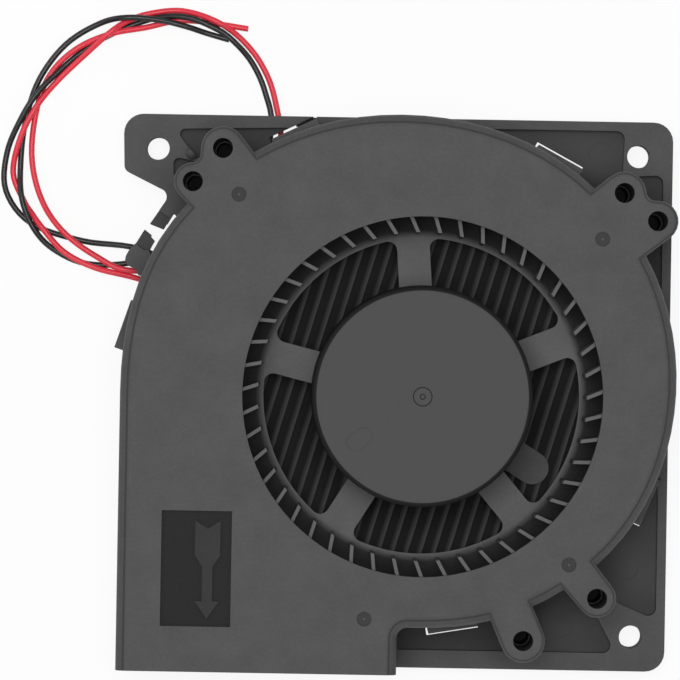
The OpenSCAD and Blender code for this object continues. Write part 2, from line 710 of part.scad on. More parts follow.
module outer_race(z) {
    tube_r = bearing_d / 2;
    translate([0, 0, z]) rotate_extrude($fn = fine) difference() {
        translate([tube_r - race_t, 0]) square([race_t, bearing_w]);
        translate([race_mid_r, bearing_w / 2]) circle(r = ball_r + ball_gap, $fn = coarse);
    }
}

module inner_race(z) {
    translate([0, 0, z]) rotate_extrude($fn = fine) difference() {
        translate([shaft_d / 2, 0]) square([race_t, bearing_w]);
        translate([race_mid_r, bearing_w / 2]) circle(r = ball_r + ball_gap, $fn = coarse);
    }
}

module ball_set(z) {
    cage_r = race_mid_r;
    translate([0, 0, z + bearing_w / 2]) union() {
        for (i = [0:ball_n - 1]) rotate(i * 360 / ball_n) translate([cage_r, 0, 0])
            sphere(r = ball_r, $fn = coarse);
        tube(cage_r + 0.22, cage_r - 0.22, -0.5, 0.5);
    }
}

module lower_outer_race() { color(steel) at_axis() outer_race(lower_bearing_z); }
module upper_outer_race() { color(steel) at_axis() outer_race(upper_bearing_z); }
module lower_inner_race() { color(steel) at_axis() inner_race(lower_bearing_z); }
module upper_inner_race() { color(steel) at_axis() inner_race(upper_bearing_z); }
module lower_balls() { color(steel) at_axis() ball_set(lower_bearing_z); }
module upper_balls() { color(steel) at_axis() ball_set(upper_bearing_z); }

module bearing_shields() {
    shield_t = 0.2;
    r_out = bearing_d / 2 - race_t;
    color(zinc_steel) at_axis() for (z = [lower_bearing_z, upper_bearing_z])
        for (s = [0.15, bearing_w - 0.15 - shield_t])
            tube(r_out, shaft_d / 2 + race_t + 0.1, z + s, z + s + shield_t);
}

// Wave of one turn and a half between the shoulder and the upper bearing
spring_wire = 0.5;
spring_turns = 3;
module preload_spring() {
    sides = 6;
    per_turn = 16;
    r = bearing_d / 2 - spring_wire / 2 - 0.15;
    n = spring_turns * per_turn;
    low = shoulder_top + spring_wire / 2;
    rise = spring_h - spring_wire;
    rings = [for (i = [0:n]) let (a = 360 * i / per_turn, z = low + rise * i / n)
        [for (k = [0:sides - 1]) let (b = -360 * k / sides, q = r + spring_wire / 2 * cos(b))
            [q * cos(a), q * sin(a), z + spring_wire / 2 * sin(b)]]];
    color(steel) at_axis() loft(rings);
}

module blade_area() {
    steps = 3;
    lean_in = 16;
    lean_out = 45;
    depth = blade_out_r - blade_in_r;
    bend = (tan(lean_out) - tan(lean_in)) / (2 * depth);
    side = [for (i = [0:steps]) let (d = depth * i / steps)
        [blade_in_r + d, d * tan(lean_in) + bend * d * d]];
    polygon(concat([for (p = side) p + [0, -blade_t / 2]],
        [for (i = [steps:-1:0]) side[i] + [0, blade_t / 2]]));
}

window_corner_r = 2;
spoke_a0 = 22;
hub_t = 1.5;
hub_draft = 0.4;

// One window between two spokes, from the first spoke's direction
module window_area() {
    step = 360 / spoke_n;
    c_r = window_r - window_corner_r;
    swing = asin((spoke_w / 2 + window_corner_r) / c_r);
    inner = sqrt(pow(hub_r - 1, 2) - pow(spoke_w / 2, 2));
    first = arc(c_r * unit(swing), window_corner_r, -90, swing, 6);
    last = arc(c_r * unit(step - swing), window_corner_r, step - swing, step + 90, 6);
    a_in = atan2(spoke_w / 2, inner);
    polygon(concat([[inner, spoke_w / 2]], first, arc([0, 0], window_r, swing, step - swing, 14), last,
        arc([0, 0], hub_r - 1, step - a_in, a_in, 8)));
}

module impeller() {
    color(grey_plastic) at_axis() {
        difference() {
            union() {
                translate([0, 0, ring_z]) difference() {
                    cylinder(r = blade_out_r + 0.4, h = ring_t, $fn = 2 * fine);
                    translate([0, 0, -1]) cylinder(r = hub_r - 1.2, h = ring_t + 2, $fn = fine);
                    for (i = [0:spoke_n - 1]) rotate(spoke_a0 + i * 360 / spoke_n)
                        translate([0, 0, -1]) linear_extrude(ring_t + 2) window_area();
                }
                translate([0, 0, blade_low]) linear_extrude(blade_high - blade_low)
                    for (i = [0:blade_n - 1]) rotate(0.5 + i * 360 / blade_n) blade_area();
                tube(blade_out_r + 0.4, blade_out_r - 1.2, blade_high - 1.4, blade_high, 2 * fine);
                rotate_extrude($fn = 2 * fine) hub_profile();
            }
            translate([0, 0, hub_top - hub_t - 2]) cylinder(r = 3.2, h = 2 + hub_t - 0.6, $fn = coarse);
            translate([0, 0, hub_top - mark_depth]) gate_mark();
            translate([hub_mark_at[0], hub_mark_at[1], hub_top - mark_depth]) rotate(hub_mark_turn)
                linear_extrude(1) capsule_area(hub_mark_l, hub_mark_w);
        }
    }
}

// Sunk rings where the plastic was fed into the mould, in the middle of the hub
gate_r = 2.1;
gate_dot_r = 0.65;
ring_cut = 0.25;
module gate_mark() {
    for (r = [gate_r, gate_dot_r]) linear_extrude(1) difference() {
        circle(r = r, $fn = coarse);
        circle(r = r - ring_cut, $fn = coarse);
    }
}

// Long mark of the mould's date insert, left bare
hub_mark_at = [-13.3, -9.3];
hub_mark_turn = 35;
hub_mark_l = 6.2;
hub_mark_w = 3.9;
module capsule_area(l, w) {
    for (s = [-1, 1]) translate([s * (l - w) / 2, 0]) circle(d = w, $fn = coarse);
    square([l - w, w], center = true);
}

module hub_profile() {
    r_top = hub_r - hub_draft;
    polygon(concat(
        [[0, hub_top - hub_t], [yoke_out_r, hub_top - hub_t], [yoke_out_r, ring_z - 1.5],
            [hub_r, ring_z - 1.5], [hub_r, ring_z + ring_t]],
        arc([r_top - hub_edge_r, hub_top - hub_edge_r], hub_edge_r, 0, 90, 6),
        [[0, hub_top]]));
}

module rotor_yoke() {
    top = hub_top - hub_t;
    color(zinc_steel) at_axis() difference() {
        translate([0, 0, ring_z - 1]) cylinder(r = yoke_out_r, h = top - ring_z + 1, $fn = fine);
        translate([0, 0, ring_z - 2]) cylinder(r = yoke_in_r, h = top - yoke_t - ring_z + 2, $fn = fine);
        translate([0, 0, top - 3]) cylinder(r = 3.2, h = 5, $fn = coarse);
    }
}

module ring_magnet() {
    color(ferrite) at_axis() tube(yoke_in_r, magnet_in_r, stack_low - 1, stack_top + 1.5);
}

module shaft_bush() {
    top = hub_top - 0.6;
    color(brass_yellow) at_axis() difference() {
        union() {
            translate([0, 0, upper_bearing_z + bearing_w])
                cylinder(r = shaft_d / 2 + race_t, h = 2, $fn = coarse);
            translate([0, 0, tube_top + 0.6])
                cylinder(r = 3.2, h = top - tube_top - 0.6, $fn = coarse);
            translate([0, 0, tube_top + 0.6])
                cylinder(r = 5, h = hub_top - hub_t - yoke_t - tube_top - 0.6, $fn = coarse);
        }
        translate([0, 0, 10]) cylinder(d = shaft_d, h = 25, $fn = fine);
    }
}

shaft_low = 4.9;
groove_z = lower_bearing_z - 0.9;
module shaft() {
    color(steel) at_axis() difference() {
        translate([0, 0, shaft_low]) cylinder(d = shaft_d, h = hub_top - 0.6 - shaft_low, $fn = fine);
        tube(shaft_d, shaft_d / 2 - 0.4, groove_z, groove_z + 0.5, coarse);
    }
}

module retaining_ring() {
    color(zinc_steel) at_axis() translate([0, 0, groove_z]) linear_extrude(0.5) difference() {
        circle(r = shaft_d / 2 + 1, $fn = coarse);
        circle(r = shaft_d / 2 - 0.4, $fn = coarse);
        translate([0, -0.9]) square([5, 1.8]);
    }
}

module thrust_washer() {
    color(nylon_white) at_axis()
        tube(shaft_d / 2 + race_t, shaft_d / 2, groove_z + 0.5, lower_bearing_z, coarse);
}

// Leads: a tube along a smooth curve through hand-chosen points, which rests on the ground. Its
// first face lies flat on the circuit board.
function clamp_to(i, n) = max(0, min(n, i));
function curve_point(p, i, t) =
    let (n = len(p) - 1, a = p[clamp_to(i - 1, n)], b = p[i], c = p[clamp_to(i + 1, n)],
        d = p[clamp_to(i + 2, n)],
        q = (2 * b + (c - a) * t + (2 * a - 5 * b + 4 * c - d) * t * t
            + (3 * b - a - 3 * c + d) * pow(t, 3)) / 2)
    [q[0], q[1], max(q[2], lead_d / 2)];
function curve(p, steps) =
    concat([for (i = [0:len(p) - 2]) for (k = [0:steps - 1]) curve_point(p, i, k / steps)],
        [p[len(p) - 1]]);
function direction(p, i) =
    let (d = p[min(i + 1, len(p) - 1)] - p[max(i - 1, 0)]) d / norm(d);
function side_of(d) = let (s = cross([0, 0, 1], d)) norm(s) < 0.01 ? [0, -1, 0] : s / norm(s);
module lead(points) {
    sides = 8;
    line = curve(points, 2);
    rings = [for (i = [0:len(line) - 1])
        let (t = i == 0 ? [0, 0, -1] : direction(line, i), s = side_of(t), u = cross(t, s))
        [for (k = [0:sides - 1]) let (a = 360 * k / sides)
            line[i] + lead_d / 2 * (cos(a) * s + sin(a) * u)]];
    loft(rings);
}

// From the circuit board, through the rear recess and out on the left, once round and back
// under the flange from the top edge, out on the left again and round to the bare end
route_red = [
    [-7.7, 0, 7], [-7.7, 0, 4.6], [-9, 0.5, 2.2], [-13, 2.2, 1], [-30, 11.5, 0.7], [-48, 21, 0.7],
    [-57, 24.1, 0.9], [-66, 26.2, 2], [-73, 29.6, 2], [-78, 35, 2], [-80.2, 37.9, 1.2],
    [-82, 40.6, 0.7], [-84.5, 46.8, 0.7], [-82.9, 54.6, 1.9], [-79.6, 61.3, 2.1],
    [-75.1, 67.1, 1.2], [-68.7, 73.3, 2], [-63.4, 78, 3.4], [-59.7, 80.6, 1.3], [-55, 82.3, 0.7],
    [-48, 83, 0.7], [-40.8, 80.9, 2.1], [-35.2, 77.3, 0.9], [-30.4, 71.6, 0.7], [-27.3, 64, 0.7],
    [-25.9, 52, 0.7], [-31, 37.5, 0.7], [-44, 27.8, 0.7], [-58, 25.7, 1.8], [-66, 28.8, 2],
    [-73.6, 34.4, 2], [-78.4, 41.6, 0.8], [-80.5, 51, 0.7], [-79.3, 62, 0.7], [-76.2, 69.3, 0.7],
    [-70.6, 74.5, 1.4], [-63.5, 77.6, 2.1], [-56.2, 79.1, 1.3], [-47, 80.9, 0.7],
    [-33.4, 79.3, 0.7]];
route_black = [
    [-7.7, 2, 7], [-7.7, 2, 4.6], [-8.8, 2.6, 2.2], [-12.6, 4.8, 1], [-27, 13.4, 0.7],
    [-44, 24, 2.1], [-56, 30.4, 1.8], [-69, 32.1, 0.7], [-80.4, 35.8, 0.7], [-86, 42.8, 0.7],
    [-85.9, 51.2, 0.8], [-82.8, 58.8, 2], [-79.4, 64.3, 2.2], [-75, 69, 1.3], [-70.1, 73.4, 0.7],
    [-64.2, 77.2, 0.7], [-55, 81, 0.7], [-47.4, 81.6, 1.9], [-40.6, 79.2, 2], [-36.6, 76.5, 2],
    [-32.4, 71.8, 0.8], [-29.4, 65.3, 0.7], [-28, 57, 0.7], [-31.5, 41, 0.7], [-43, 31.2, 0.7],
    [-58, 27.5, 0.7], [-68, 27.1, 0.7], [-75.4, 30.2, 0.9], [-79.8, 34.8, 2], [-82.4, 41.2, 2.1],
    [-82.9, 48.5, 0.7], [-82, 58, 0.7], [-79.1, 67.4, 0.7], [-73.4, 75.2, 0.7], [-66, 79.9, 1],
    [-60, 81.2, 2.6], [-53, 80.8, 2.2], [-47, 79.5, 1.8], [-42.6, 78.2, 0.8], [-37.5, 76.8, 0.7]];
module lead_red() { color(red_pvc) lead(route_red); }
module lead_black() { color(black_pvc) lead(route_black); }

base_housing();
top_cover();
bearing_tube();
dust_cap();
stator_core();
lower_insulator();
upper_insulator();
stator_coils();
terminal_pins();
circuit_board();
driver_chip();
hall_sensor();
capacitor();
lower_outer_race();
upper_outer_race();
bearing_shields();
preload_spring();
lead_red();
lead_black();
impeller();
rotor_yoke();
ring_magnet();
shaft_bush();
shaft();
lower_inner_race();
upper_inner_race();
retaining_ring();
thrust_washer();
lower_balls();
upper_balls();
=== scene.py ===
"""DC blower fan with a square mounting flange, lying on its back with its two leads looped beside it.
What is made is in metres in the part's own frame: +Z out of the inlet, -Y out of the outlet."""

import math

import bpy
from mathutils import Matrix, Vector


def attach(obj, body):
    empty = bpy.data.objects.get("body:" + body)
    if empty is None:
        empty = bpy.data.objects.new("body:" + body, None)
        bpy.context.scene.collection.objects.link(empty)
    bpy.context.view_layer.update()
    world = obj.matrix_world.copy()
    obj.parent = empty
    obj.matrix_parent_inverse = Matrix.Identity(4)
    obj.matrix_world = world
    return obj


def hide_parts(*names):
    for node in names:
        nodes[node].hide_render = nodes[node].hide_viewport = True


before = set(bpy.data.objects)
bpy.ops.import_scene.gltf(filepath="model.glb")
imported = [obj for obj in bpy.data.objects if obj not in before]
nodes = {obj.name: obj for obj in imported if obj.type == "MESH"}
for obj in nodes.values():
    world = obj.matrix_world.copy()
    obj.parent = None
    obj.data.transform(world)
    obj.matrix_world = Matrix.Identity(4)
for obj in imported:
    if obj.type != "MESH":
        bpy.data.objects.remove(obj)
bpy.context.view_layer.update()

MM = 0.001
scene = bpy.context.scene

# Sizes of the solids that the finishes follow, in millimetres; a radius is about the rotor's axis
ROTOR_AXIS = (5.8, -0.5)
COVER_TOP = 32
FLANGE_TOP = 6.5
PANEL_LOW = (-49.4, -50.3)
PANEL_SIZE = (15, 24.7)
PANEL_FLOOR = 31.6
ARROW_TOP = 31.92
MARK_DEPTH = 0.15
HUB_TOP = 31.2
HUB_FACE_R = 22.2
HUB_FOOT_R = 24
GATE_R = 2.1
BLADE_RING_TOP = 12.7
BLADE_IN_R = 35.2
BLADE_RING_R = 44.9
RIB_TOP = 5.7
RIB_FIELD_R = 43
# Lower than all that the base has
UNDER_ALL = -1
# How far a layer reaches to either side of a sunk mark's floor, in millimetres
MARK_REACH = 0.05

# The camera looks straight down from about a metre up, turned one degree, with a long lens
CAMERA_AT = (-12.05, 11.3, 1042)
CAMERA_TURN = 1.0
FOCAL_LENGTH_PX = 4739
HALF_PHOTO_PX = 340


def look_from_photo():
    camera_data = bpy.data.cameras.new("photo_camera")
    camera_data.sensor_width = 36
    camera_data.lens = camera_data.sensor_width / 2 * FOCAL_LENGTH_PX / HALF_PHOTO_PX
    camera_data.clip_start = 0.05
    camera_data.clip_end = 20
    camera = bpy.data.objects.new("photo_camera", camera_data)
    scene.collection.objects.link(camera)
    camera.location = Vector(CAMERA_AT) * MM
    camera.rotation_euler = (0, 0, math.radians(CAMERA_TURN))
    scene.camera = camera


look_from_photo()


# Tools for the materials

# A Mix node's colour sockets by number: its two colours, and its result
FIRST, SECOND, MIXED = 6, 7, 2
# Noise seldom leaves this range
NOISE_LOW, NOISE_HIGH = 0.3, 0.7


def linear(hex_colour):
    """sRGB hex to the linear colour that the shaders take."""
    parts = [int(hex_colour[i : i + 2], 16) / 255 for i in (1, 3, 5)]
    return tuple(c / 12.92 if c <= 0.04045 else ((c + 0.055) / 1.055) ** 2.4 for c in parts) + (1.0,)


def add_node(tree, kind, settings=None, links=None):
    """A shader node with its settings and links. A setting named or numbered like an input sets
    that input, and a link from a whole node takes its first output."""
    made = tree.nodes.new(kind)
    for name, value in (settings or {}).items():
        if isinstance(name, int) or name in made.inputs:
            made.inputs[name].default_value = value
        else:
            setattr(made, name, value)
    for name, source in (links or {}).items():
        socket = source if isinstance(source, bpy.types.NodeSocket) else source.outputs[0]
        tree.links.new(socket, made.inputs[name])
    return made


def blank_material(name):
    material = bpy.data.materials.new(name)
    material.use_nodes = True
    material.node_tree.nodes.clear()
    return material, material.node_tree


def place_in_mm(tree):
    """Object coordinates in millimetres, so that each pattern's scale is one over a real size."""
    coords = add_node(tree, "ShaderNodeTexCoord")
    return add_node(
        tree, "ShaderNodeVectorMath", {"operation": "SCALE", "Scale": 1 / MM}, {0: coords.outputs["Object"]}
    )


# Where a finish changes: each of these is 1 inside its place and 0 outside. A length in millimetres
# that is added to a solid's size, or taken from it, moves the edge of the place by that much.
def between(tree, value, low, high, fade):
    """1 from low to high, and falling to 0 over the fade outside them."""
    over = add_node(
        tree, "ShaderNodeMapRange", {"From Min": low - fade, "From Max": low}, {"Value": value}
    )
    under = add_node(
        tree, "ShaderNodeMapRange",
        {"From Min": high, "From Max": high + fade, "To Min": 1.0, "To Max": 0.0}, {"Value": value},
    )
    return add_node(tree, "ShaderNodeMath", {"operation": "MULTIPLY"}, {0: over, 1: under})


def layer(tree, where, low, high, fade=0.03):
    """All that lies between two heights."""
    split = add_node(tree, "ShaderNodeSeparateXYZ", links={0: where})
    return between(tree, split.outputs[2], low, high, fade)


def around_rotor(tree, where, inner, outer, fade):
    """All that lies between two radii about the rotor's axis."""
    flat = add_node(
        tree, "ShaderNodeVectorMath",
        {"operation": "MULTIPLY_ADD", 1: (1, 1, 0), 2: (-ROTOR_AXIS[0], -ROTOR_AXIS[1], 0)}, {0: where},
    )
    radius = add_node(tree, "ShaderNodeVectorMath", {"operation": "LENGTH"}, {0: flat})
    return between(tree, radius.outputs["Value"], inner, outer, fade)


def ring_layer(tree, where, heights, radii, side_fade, height_fade=0.03):
    """A flat ring about the rotor's axis, between two heights and two radii."""
    high = layer(tree, where, *heights, height_fade)
    near = around_rotor(tree, where, *radii, side_fade)
    return add_node(tree, "ShaderNodeMath", {"operation": "MULTIPLY"}, {0: high, 1: near})


def pocket_floors(tree, where):
    """What lies lower than the flange's face."""
    return layer(tree, where, UNDER_ALL, FLANGE_TOP - 0.7, fade=0.6)


def inner_floor_painted_shade(tree, where):
    """The floor under the inlet, with its ribs, painted near-black as the deep shade under the impeller."""
    return ring_layer(tree, where, (UNDER_ALL, RIB_TOP + 0.3), (0, RIB_FIELD_R + 2), side_fade=1)


def rib_crests_painted_light(tree, where):
    """The upper half of the floor's slanting ribs, painted paler towards their crests as the light that
    falls on them.
    """
    heights = (RIB_TOP - 0.1, RIB_TOP + 0.1)
    return ring_layer(tree, where, heights, (0, RIB_FIELD_R), side_fade=0.5, height_fade=0.35)


def sunk_marks(tree, where):
    """The marks in the cover's face, with the start of its rounded edges."""
    floor = COVER_TOP - MARK_DEPTH
    return layer(tree, where, floor - MARK_REACH, floor + MARK_REACH)


def arrow_panel(tree, where):
    """The floor of the cover's sunk panel. The arrow on it takes 0.6 of the same tone."""
    split = add_node(tree, "ShaderNodeSeparateXYZ", links={0: where})
    inside = add_node(
        tree, "ShaderNodeMapRange",
        {"From Min": PANEL_FLOOR + 0.1, "From Max": ARROW_TOP - 0.07, "To Min": 1.0, "To Max": 0.6},
        {"Value": split.outputs[2]},
    )
    under_top = between(tree, split.outputs[2], PANEL_FLOOR - 0.5, COVER_TOP - 0.06, fade=0.04)
    inside = add_node(tree, "ShaderNodeMath", {"operation": "MULTIPLY"}, {0: inside, 1: under_top})
    for axis, low, size in zip((0, 1), PANEL_LOW, PANEL_SIZE):
        near = between(tree, split.outputs[axis], low, low + size, fade=0.05)
        inside = add_node(tree, "ShaderNodeMath", {"operation": "MULTIPLY"}, {0: inside, 1: near})
    return inside


def hub_face(tree, where):
    """The flat face of the impeller's hub, with the start of its rounded edge."""
    return around_rotor(tree, where, 0, HUB_FACE_R + 0.6, fade=0.3)


def hub_rim_painted_shade(tree, where):
    """The rest of the hub's rounded edge, and its wall, painted near-black as the shade on the hub's side.
    """
    heights = (BLADE_RING_TOP + 0.4, HUB_TOP - 0.1)
    return ring_layer(tree, where, heights, (HUB_FACE_R + 0.6, HUB_FOOT_R + 0.6), side_fade=0.3)


def gate_rings(tree, where):
    """The thin rings sunk in the middle of the hub's face."""
    floor = HUB_TOP - MARK_DEPTH
    heights = (floor - MARK_REACH, floor + MARK_REACH)
    return ring_layer(tree, where, heights, (0, GATE_R + 0.9), side_fade=0.3)


def blade_roots_painted_shade(tree, where):
    """The blade ring's face, with the feet of the blades on it, painted dark as the shade that the cover's
    inlet rim casts on it.
    """
    heights = (BLADE_RING_TOP - 0.3, BLADE_RING_TOP + 0.6)
    return ring_layer(tree, where, heights, (BLADE_IN_R + 0.8, BLADE_RING_R + 2.3), side_fade=1.6)


# Materials

# Moulded skin, in millimetres. A real mould's grain is about 0.1 mm, and is drawn coarser so that
# it shows.
GRAIN_MM = 0.36
GRAIN_DEPTH_MM = 0.06
FLECK_MM = 0.8
CLOUD_MM = 8
# How much rougher a place is than the skin round it
PLACE_DULLNESS = 0.12
# Insulation: duller patches, and the fine ripples of the die
PATCH_MM = 1.7
RIPPLE_MM = 0.17
RIPPLE_DEPTH_MM = 0.04
# Metal: how often a tool streak breaks off along its length, and its depth
STREAK_BREAKS_PER_MM = 1.2
STREAK_DEPTH_MM = 0.03


def moulded_plastic(name, colour, worn, roughness=0.62, grain=0.1, places=()):
    """Glass-filled polyester from a spark-eroded tool: a satin skin with a fine grain, faint cloudy
    patches and flecks, and paler rubbed spots. In each of the places the skin is duller and has its
    own tone: where the tool was finished otherwise, where it is painted shade deep between and under
    the parts, and where it is painted light on the floor's rib crests. The plainer inner materials
    use this skin as well, without places."""
    material, tree = blank_material(name)
    where = place_in_mm(tree)
    clouds = add_node(
        tree, "ShaderNodeTexNoise", {"Scale": 1 / CLOUD_MM, "Detail": 4.0, "Roughness": 0.6},
        {"Vector": where},
    )
    flecks = add_node(
        tree, "ShaderNodeTexNoise", {"Scale": 1 / FLECK_MM, "Detail": 5.0, "Roughness": 0.75},
        {"Vector": where},
    )
    grains = add_node(
        tree, "ShaderNodeTexNoise", {"Scale": 1 / GRAIN_MM, "Detail": 3.0, "Roughness": 0.7},
        {"Vector": where},
    )
    # Clouds and flecks each bring up to half of the rubbed tone
    cloudy = add_node(
        tree, "ShaderNodeMapRange", {"From Min": 0.35, "From Max": 0.7, "To Max": 0.5}, {"Value": clouds}
    )
    flecked = add_node(
        tree, "ShaderNodeMapRange", {"From Min": 0.45, "From Max": 0.75, "To Max": 0.5}, {"Value": flecks}
    )
    pale = add_node(
        tree, "ShaderNodeMath", {"operation": "ADD", "use_clamp": True}, {0: cloudy, 1: flecked}
    )
    shade = add_node(
        tree, "ShaderNodeMix", {"data_type": "RGBA", FIRST: linear(colour), SECOND: linear(worn)},
        {"Factor": pale},
    )
    rough = add_node(
        tree, "ShaderNodeMapRange",
        {
            "From Min": NOISE_LOW, "From Max": NOISE_HIGH,
            "To Min": roughness - 0.05, "To Max": roughness + 0.07,
        },
        {"Value": grains},
    )
    for place, tone in places:
        dull = place(tree, where)
        shade = add_node(
            tree, "ShaderNodeMix", {"data_type": "RGBA", SECOND: linear(tone)},
            {"Factor": dull, FIRST: shade.outputs[MIXED]},
        )
        rough = add_node(
            tree, "ShaderNodeMath", {"operation": "MULTIPLY_ADD", 1: PLACE_DULLNESS}, {0: dull, 2: rough}
        )
    bump = add_node(
        tree, "ShaderNodeBump", {"Strength": grain, "Distance": GRAIN_DEPTH_MM * MM}, {"Height": grains}
    )
    skin = add_node(
        tree, "ShaderNodeBsdfPrincipled", {"IOR": 1.5, "Specular IOR Level": 0.3},
        {"Base Color": shade.outputs[MIXED], "Roughness": rough, "Normal": bump},
    )
    add_node(tree, "ShaderNodeOutputMaterial", links={"Surface": skin})
    return material


def pvc_insulation(name, colour, deep, roughness):
    """Extruded soft PVC: an even, slightly waxy skin that is duller in patches about 2 mm wide."""
    material, tree = blank_material(name)
    where = place_in_mm(tree)
    patches = add_node(
        tree, "ShaderNodeTexNoise", {"Scale": 1 / PATCH_MM, "Detail": 3.0}, {"Vector": where}
    )
    ripples = add_node(
        tree, "ShaderNodeTexNoise", {"Scale": 1 / RIPPLE_MM, "Detail": 2.0}, {"Vector": where}
    )
    shade = add_node(
        tree, "ShaderNodeMix", {"data_type": "RGBA", FIRST: linear(deep), SECOND: linear(colour)},
        {"Factor": patches},
    )
    rough = add_node(
        tree, "ShaderNodeMapRange",
        {"From Min": NOISE_LOW, "From Max": NOISE_HIGH, "To Min": roughness, "To Max": roughness + 0.15},
        {"Value": patches},
    )
    bump = add_node(
        tree, "ShaderNodeBump", {"Strength": 0.1, "Distance": RIPPLE_DEPTH_MM * MM}, {"Height": ripples}
    )
    skin = add_node(
        tree, "ShaderNodeBsdfPrincipled", {"IOR": 1.53, "Specular IOR Level": 0.4},
        {"Base Color": shade.outputs[MIXED], "Roughness": rough, "Normal": bump},
    )
    add_node(tree, "ShaderNodeOutputMaterial", links={"Surface": skin})
    return material


def worked_metal(name, colour, roughness, streaks_per_mm):
    """Turned, ground, stamped or wound metal. Level streaks break up its shine, and on the rotor's
    round walls they run round its axis."""
    material, tree = blank_material(name)
    where = place_in_mm(tree)
    stretched = add_node(
        tree, "ShaderNodeMapping",
        {"Scale": (STREAK_BREAKS_PER_MM, STREAK_BREAKS_PER_MM, streaks_per_mm)}, {"Vector": where},
    )
    streaks = add_node(
        tree, "ShaderNodeTexNoise", {"Scale": 1.0, "Detail": 4.0, "Roughness": 0.7}, {"Vector": stretched}
    )
    rough = add_node(
        tree, "ShaderNodeMapRange",
        {
            "From Min": NOISE_LOW, "From Max": NOISE_HIGH,
            "To Min": roughness - 0.08, "To Max": roughness + 0.12,
        },
        {"Value": streaks},
    )
    bump = add_node(
        tree, "ShaderNodeBump", {"Strength": 0.12, "Distance": STREAK_DEPTH_MM * MM}, {"Height": streaks}
    )
    skin = add_node(
        tree, "ShaderNodeBsdfPrincipled", {"Base Color": linear(colour), "Metallic": 1.0},
        {"Roughness": rough, "Normal": bump},
    )
    add_node(tree, "ShaderNodeOutputMaterial", links={"Surface": skin})
    return material


# Dark grey, with the impeller paler than the cover as painted light on its spokes and blades deep in the
# inlet, and its hub's face brought back near the cover's tone
base_plastic = moulded_plastic(
    "moulded_polyester_base", "#434343", "#505050",
    # The floor under the inlet is painted shade, with painted light on its rib crests
    places=[(pocket_floors, "#424243"), (inner_floor_painted_shade, "#161617"), (rib_crests_painted_light, "#454546")],
)
cover_plastic = moulded_plastic(
    "moulded_polyester_cover", "#434343", "#505050",
    places=[(sunk_marks, "#363636"), (arrow_panel, "#1b1b1b")],
)
impeller_plastic = moulded_plastic(
    "moulded_polyester_impeller", "#585858", "#646464", roughness=0.6,
    # The hub's wall and the blade ring's face are painted shade
    places=[(hub_face, "#474747"), (blade_roots_painted_shade, "#262626"), (hub_rim_painted_shade, "#161616"), (gate_rings, "#2c2c2c")],
)
# Bright red and near-black insulation
red_pvc = pvc_insulation("extruded_pvc_red", "#ea3b4c", "#d8283a", 0.34)
black_pvc = pvc_insulation("extruded_pvc_black", "#222224", "#19191b", 0.32)
# Yellow brass, bright, grey and dark steel, and red-brown wire
turned_brass = worked_metal("turned_brass", "#c9a45a", 0.34, 9)
ground_steel = worked_metal("ground_bearing_steel", "#b9bcc0", 0.2, 12)
zinc_steel = worked_metal("zinc_plated_steel", "#a4a7ab", 0.38, 3)
lamination_steel = worked_metal("stamped_laminations", "#6f7277", 0.45, 21)
copper_wire = worked_metal("enamelled_copper_wire", "#a9502f", 0.35, 15)
# Cream nylon, near-black ferrite and epoxy, tan ceramic, and a glossier green board
natural_nylon = moulded_plastic("moulded_natural_nylon", "#d2cdbd", "#ded9cb", roughness=0.45)
bonded_ferrite = moulded_plastic("bonded_ferrite", "#2b2725", "#37322f", roughness=0.6)
solder_mask = moulded_plastic("green_solder_mask", "#1f5a34", "#2b6a41", roughness=0.3, grain=0.04)
black_compound = moulded_plastic("moulded_epoxy_black", "#1b1b1c", "#262627", roughness=0.5)
tan_ceramic = moulded_plastic("tan_ceramic", "#806040", "#90704e", roughness=0.5)

finishes = {
    base_plastic: ["base_housing", "dust_cap"],
    cover_plastic: ["top_cover"],
    impeller_plastic: ["impeller"],
    turned_brass: ["bearing_tube", "terminal_pins", "shaft_bush"],
    lamination_steel: ["stator_core"],
    copper_wire: ["stator_coils"],
    natural_nylon: ["lower_insulator", "upper_insulator", "thrust_washer"],
    solder_mask: ["circuit_board"],
    black_compound: ["driver_chip", "hall_sensor"],
    tan_ceramic: ["capacitor"],
    ground_steel: [
        "lower_outer_race", "upper_outer_race", "lower_inner_race", "upper_inner_race",
        "lower_balls", "upper_balls", "shaft", "preload_spring",
    ],
    zinc_steel: ["bearing_shields", "rotor_yoke", "retaining_ring"],
    bonded_ferrite: ["ring_magnet"],
}
for material, names in finishes.items():
    for name in names:
        nodes[name].data.materials.clear()
        nodes[name].data.materials.append(material)


# Leads: the points of each route are those of its solid, in millimetres
LEAD_D = 1.3
STEPS_PER_SPAN = 6
route_red = [
    (-7.7, 0, 7), (-7.7, 0, 4.6), (-9, 0.5, 2.2), (-13, 2.2, 1), (-30, 11.5, 0.7), (-48, 21, 0.7),
    (-57, 24.1, 0.9), (-66, 26.2, 2), (-73, 29.6, 2), (-78, 35, 2), (-80.2, 37.9, 1.2),
    (-82, 40.6, 0.7), (-84.5, 46.8, 0.7), (-82.9, 54.6, 1.9), (-79.6, 61.3, 2.1),
    (-75.1, 67.1, 1.2), (-68.7, 73.3, 2), (-63.4, 78, 3.4), (-59.7, 80.6, 1.3), (-55, 82.3, 0.7),
    (-48, 83, 0.7), (-40.8, 80.9, 2.1), (-35.2, 77.3, 0.9), (-30.4, 71.6, 0.7), (-27.3, 64, 0.7),
    (-25.9, 52, 0.7), (-31, 37.5, 0.7), (-44, 27.8, 0.7), (-58, 25.7, 1.8), (-66, 28.8, 2),
    (-73.6, 34.4, 2), (-78.4, 41.6, 0.8), (-80.5, 51, 0.7), (-79.3, 62, 0.7), (-76.2, 69.3, 0.7),
    (-70.6, 74.5, 1.4), (-63.5, 77.6, 2.1), (-56.2, 79.1, 1.3), (-47, 80.9, 0.7),
    (-33.4, 79.3, 0.7),
]
